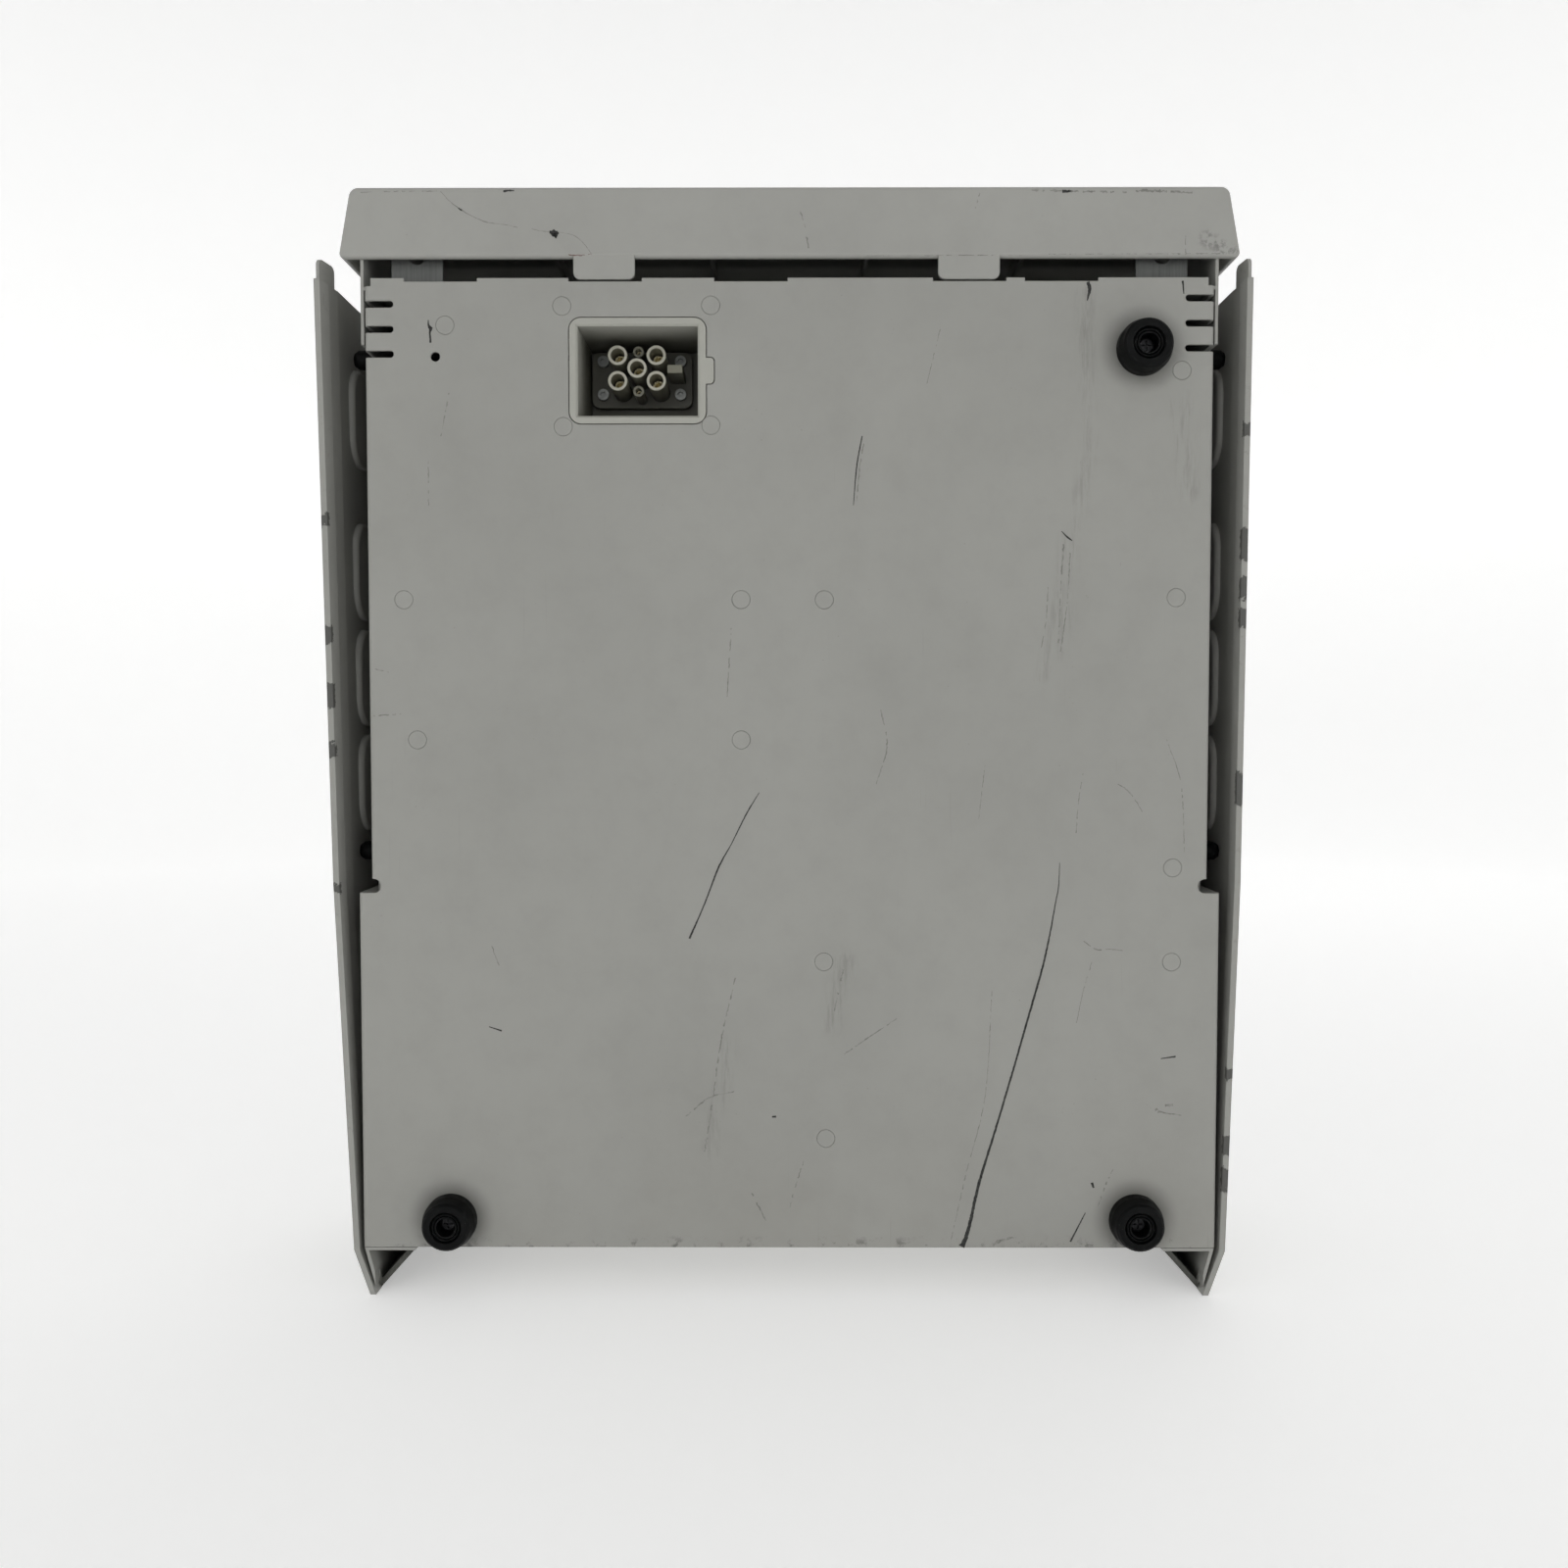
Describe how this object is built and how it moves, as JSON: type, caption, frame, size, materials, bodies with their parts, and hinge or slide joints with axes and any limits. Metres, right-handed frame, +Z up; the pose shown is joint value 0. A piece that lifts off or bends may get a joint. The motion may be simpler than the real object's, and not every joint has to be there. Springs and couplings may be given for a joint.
{
  "type": "fire alarm control panel",
  "caption": "Sheet-steel control panel cabinet with plastic hood, flared side covers, rubber feet and rear docking connector, hinged windowed front door and operator controls inside.",
  "frame": {"origin": "middle of the footprint, level with the lowest edge of the side covers", "axes": "+Z up, back plate faces +Y, front door faces -Y, +X on the right seen from the front"},
  "size_m": [0.4352, 0.1701, 0.5201],
  "materials": {
    "painted_steel": "fine textured powder coat",
    "hood_plastic": "matte moulded",
    "well_plastic": "matte moulded",
    "bright_steel": "zinc plated",
    "black_rubber": "moulded rubber",
    "connector_plastic": "glass-filled nylon",
    "contact_metal": "plated",
    "black_plastic": "matte moulded",
    "rotor_metal": "nickel plated",
    "bezel_plastic": "fine grain",
    "window_plastic": "clear polycarbonate",
    "button_grey": "satin",
    "button_red": "satin",
    "button_green": "satin",
    "lens_plastic": "translucent",
    "display_metal": "display glass in a metal frame",
    "circuit_board": "solder mask",
    "terminal_plastic": "moulded",
    "transformer_iron": "varnished laminations",
    "lead_insulation": "pvc"
  },
  "bodies": {
    "chassis": {"back_chassis": "painted_steel", "battery_leads": "lead_insulation", "battery_left": "black_plastic", "battery_right": "black_plastic", "battery_strap": "bright_steel", "blanking_grommets": "black_plastic", "board_components": "black_plastic", "cable_glands": "black_plastic", "clinch_standoffs": "bright_steel", "corner_bracket_left": "painted_steel", "corner_bracket_right": "painted_steel", "display_board": "circuit_board", "display_lens": "window_plastic", "display_module": "display_metal", "dock_connector": "connector_plastic", "dock_contacts": "contact_metal", "dock_harness": "lead_insulation", "dock_screws": "bright_steel", "dock_well": "well_plastic", "earth_stud": "bright_steel", "enable_switch": "black_plastic", "foot_screws": "bright_steel", "fuse_holder": "black_plastic", "hinge_leaves_chassis": "bright_steel", "hinge_pins": "bright_steel", "hood": "hood_plastic", "hood_brackets": "bright_steel", "indicator_lenses": "lens_plastic", "loop_board": "circuit_board", "main_board": "circuit_board", "mains_bracket": "bright_steel", "mains_switch": "black_plastic", "operator_bezel": "bezel_plastic", "operator_plate": "painted_steel", "power_supply_case": "bright_steel", "ribbon_cable": "lead_insulation", "rubber_feet": "black_rubber", "side_buffers": "black_rubber", "side_cover_left": "painted_steel", "side_cover_right": "painted_steel", "sounder": "black_plastic", "terminal_blocks": "terminal_plastic", "top_frame": "painted_steel", "transformer": "transformer_iron"},
    "door": {"front_door": "painted_steel", "door_window": "window_plastic", "window_gasket": "black_rubber", "door_seal": "black_rubber", "hinge_leaves_door": "bright_steel", "latch_barrel": "black_plastic"},
    "latch": {"latch_knob": "black_plastic", "latch_cam": "bright_steel"},
    "enable_key": {"enable_rotor": "rotor_metal"},
    "rocker": {"mains_rocker": "black_plastic"},
    "button_silence": {"button_silence": "button_grey"},
    "button_reset": {"button_reset": "button_green"},
    "button_evacuate": {"button_evacuate": "button_red"},
    "button_mute": {"button_mute": "button_grey"},
    "button_previous": {"button_previous": "button_grey"},
    "button_next": {"button_next": "button_grey"}
  },
  "joints": [
    {"name": "door_swing", "type": "hinge", "parent": "chassis", "child": "door", "pos_m": [-0.207, -0.052, 0.25], "axis": [0, 0, -1], "range_deg": [0, 110]},
    {"name": "latch_turn", "type": "hinge", "parent": "door", "child": "latch", "pos_m": [0.172, -0.069, 0.215], "axis": [0, -1, 0], "range_deg": [0, 90]},
    {"name": "enable_turn", "type": "hinge", "parent": "chassis", "child": "enable_key", "pos_m": [0.122, -0.053, 0.3], "axis": [0, 1, 0], "range_deg": [0, 90]},
    {"name": "mains_rock", "type": "hinge", "parent": "chassis", "child": "rocker", "pos_m": [0.158, -0.009, 0.092], "axis": [1, 0, 0], "range_deg": [0, 16]},
    {"name": "press_silence", "type": "slide", "parent": "chassis", "child": "button_silence", "axis": [0, 1, 0], "range_m": [0, 0.0012], "stiffness_N_per_m": 400},
    {"name": "press_reset", "type": "slide", "parent": "chassis", "child": "button_reset", "axis": [0, 1, 0], "range_m": [0, 0.0012], "stiffness_N_per_m": 400},
    {"name": "press_evacuate", "type": "slide", "parent": "chassis", "child": "button_evacuate", "axis": [0, 1, 0], "range_m": [0, 0.0012], "stiffness_N_per_m": 400},
    {"name": "press_mute", "type": "slide", "parent": "chassis", "child": "button_mute", "axis": [0, 1, 0], "range_m": [0, 0.0012], "stiffness_N_per_m": 400},
    {"name": "press_previous", "type": "slide", "parent": "chassis", "child": "button_previous", "axis": [0, 1, 0], "range_m": [0, 0.0012], "stiffness_N_per_m": 400},
    {"name": "press_next", "type": "slide", "parent": "chassis", "child": "button_next", "axis": [0, 1, 0], "range_m": [0, 0.0012], "stiffness_N_per_m": 400}
  ]
}
